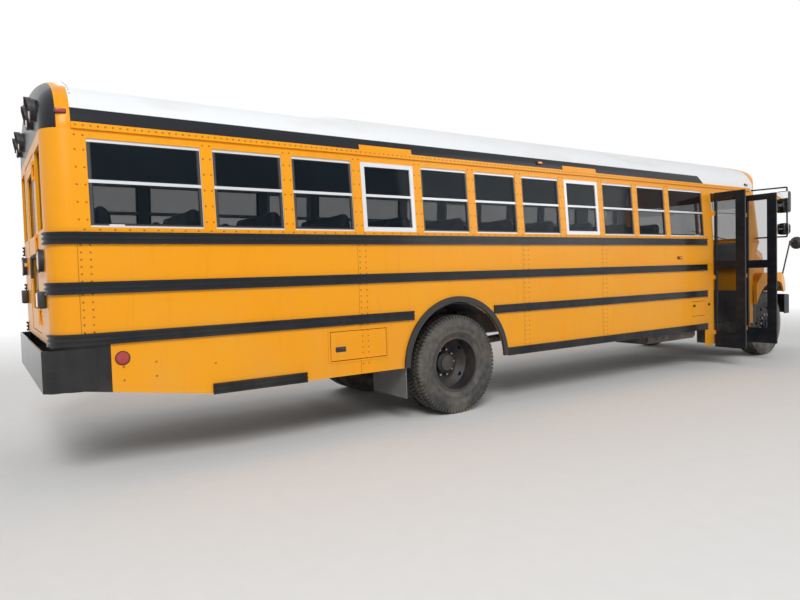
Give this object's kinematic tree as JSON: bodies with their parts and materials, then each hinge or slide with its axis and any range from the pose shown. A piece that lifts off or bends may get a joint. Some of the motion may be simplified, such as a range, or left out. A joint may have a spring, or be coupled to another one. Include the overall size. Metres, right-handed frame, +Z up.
{
  "type": "school bus",
  "caption": "Conventional school bus with a front hood, side windows, a folding service door, twin rear wheels and a rear emergency door.",
  "frame": {"origin": "on the ground at the middle of the bus, midway between the bumpers' faces", "axes": "+X forward, +Y to the bus's left, +Z up"},
  "size_m": [11.345, 3.4, 3.229],
  "materials": {
    "yellow_paint": "glossy school-bus yellow",
    "white_paint": "semi-gloss white",
    "black_paint": "gloss black",
    "red_paint": "gloss red",
    "underbody_black": "matte undercoat",
    "dark_steel": "dull black iron",
    "wheel_black": "satin black",
    "tyre_rubber": "matte rubber",
    "black_rubber": "matte rubber",
    "window_aluminium": "satin",
    "tinted_glass": "tinted",
    "lamp_lens": "red lens",
    "clear_lens": "clear lens",
    "black_plastic": "grained",
    "pipe_steel": "brushed",
    "seat_vinyl": "grained dark vinyl"
  },
  "bodies": {
    "chassis": {"arch_flares": "black_rubber", "chassis_frame": "underbody_black", "cowl_and_windshield_frame": "yellow_paint", "dashboard": "black_plastic", "driveline": "dark_steel", "driver_seat": "seat_vinyl", "end_glass": "tinted_glass", "engine_block": "dark_steel", "exhaust": "pipe_steel", "floor_deck": "underbody_black", "front_axle_beam": "dark_steel", "front_bumper": "black_paint", "front_cap": "yellow_paint", "front_lamps": "lamp_lens", "fuel_tank": "underbody_black", "grab_rail": "pipe_steel", "leaf_springs": "dark_steel", "mud_flaps": "black_rubber", "passenger_seats": "seat_vinyl", "rear_axle": "dark_steel", "rear_bumper": "black_paint", "rear_cap": "black_paint", "rear_lamps": "lamp_lens", "rear_wall": "yellow_paint", "roof_skin": "white_paint", "rub_rails": "black_paint", "seat_frames": "underbody_black", "side_glass": "tinted_glass", "side_mirrors": "black_plastic", "side_panel_left": "yellow_paint", "side_panel_right": "yellow_paint", "steering_wheel": "black_plastic", "step_well": "black_paint", "stop_arm_box": "black_paint", "window_frames": "window_aluminium"},
    "wheel_rear_left": {"tyres_rear_left": "tyre_rubber", "wheel_discs_rear_left": "wheel_black"},
    "wheel_rear_right": {"tyres_rear_right": "tyre_rubber", "wheel_discs_rear_right": "wheel_black"},
    "steer_left": {"knuckle_left": "dark_steel"},
    "steer_right": {"knuckle_right": "dark_steel"},
    "wheel_front_left": {"tyre_front_left": "tyre_rubber", "wheel_disc_front_left": "wheel_black"},
    "wheel_front_right": {"tyre_front_right": "tyre_rubber", "wheel_disc_front_right": "wheel_black"},
    "service_door_rear": {"door_rear_leaf": "black_paint", "door_rear_glass": "tinted_glass"},
    "service_door_front": {"door_front_leaf": "black_paint", "door_front_glass": "tinted_glass"},
    "rear_door": {"rear_door_panel": "yellow_paint", "rear_door_glass": "tinted_glass"},
    "hatch": {"hatch_door": "yellow_paint"},
    "fuel_flap": {"fuel_door": "yellow_paint"},
    "hood": {"hood_shell": "yellow_paint", "grille": "black_plastic", "headlamps": "clear_lens", "crossview_mirrors": "black_plastic"},
    "stop_arm": {"stop_arm_plate": "red_paint"}
  },
  "joints": [
    {"name": "wheel_rear_left_spin", "type": "hinge", "parent": "chassis", "child": "wheel_rear_left", "pos_m": [-1.773, 0.8585, 0.53], "axis": [0, 1, 0], "continuous": true},
    {"name": "wheel_rear_right_spin", "type": "hinge", "parent": "chassis", "child": "wheel_rear_right", "pos_m": [-1.773, -0.8585, 0.53], "axis": [0, 1, 0], "continuous": true},
    {"name": "steer_left_turn", "type": "hinge", "parent": "chassis", "child": "steer_left", "pos_m": [4.806, 0.86, 0.53], "axis": [0, 0, 1], "range_deg": [-35, 35]},
    {"name": "steer_right_turn", "type": "hinge", "parent": "chassis", "child": "steer_right", "pos_m": [4.806, -0.86, 0.53], "axis": [0, 0, 1], "range_deg": [-35, 35]},
    {"name": "wheel_front_left_spin", "type": "hinge", "parent": "steer_left", "child": "wheel_front_left", "pos_m": [4.806, 1.015, 0.53], "axis": [0, 1, 0], "continuous": true},
    {"name": "wheel_front_right_spin", "type": "hinge", "parent": "steer_right", "child": "wheel_front_right", "pos_m": [4.806, -1.015, 0.53], "axis": [0, 1, 0], "continuous": true},
    {"name": "service_door_rear_swing", "type": "hinge", "parent": "chassis", "child": "service_door_rear", "pos_m": [3.1448, -1.232, 1.435], "axis": [0, 0, 1], "range_deg": [0, 90]},
    {"name": "service_door_front_swing", "type": "hinge", "parent": "chassis", "child": "service_door_front", "pos_m": [4.0468, -1.232, 1.435], "axis": [0, 0, -1], "range_deg": [0, 90]},
    {"name": "rear_door_swing", "type": "hinge", "parent": "chassis", "child": "rear_door", "pos_m": [-5.594, -0.449, 1.85], "axis": [0, 0, 1], "range_deg": [0, 110]},
    {"name": "hatch_drop", "type": "hinge", "parent": "chassis", "child": "hatch", "pos_m": [-3.019, -1.2205, 0.7305], "axis": [1, 0, 0], "range_deg": [0, 110]},
    {"name": "fuel_flap_swing", "type": "hinge", "parent": "chassis", "child": "fuel_flap", "pos_m": [2.8725, -1.2205, 0.8845], "axis": [0, 0, 1], "range_deg": [0, 110]},
    {"name": "hood_tilt", "type": "hinge", "parent": "chassis", "child": "hood", "pos_m": [5.5, 0, 1.02], "axis": [0, 1, 0], "range_deg": [0, 65]},
    {"name": "stop_arm_swing", "type": "hinge", "parent": "chassis", "child": "stop_arm", "pos_m": [3.06, 1.254, 1.67], "axis": [0, 0, -1], "range_deg": [0, 90]}
  ],
  "couplings": [
    {"joint": "steer_right_turn", "follows": "steer_left_turn", "ratio": 1}
  ]
}
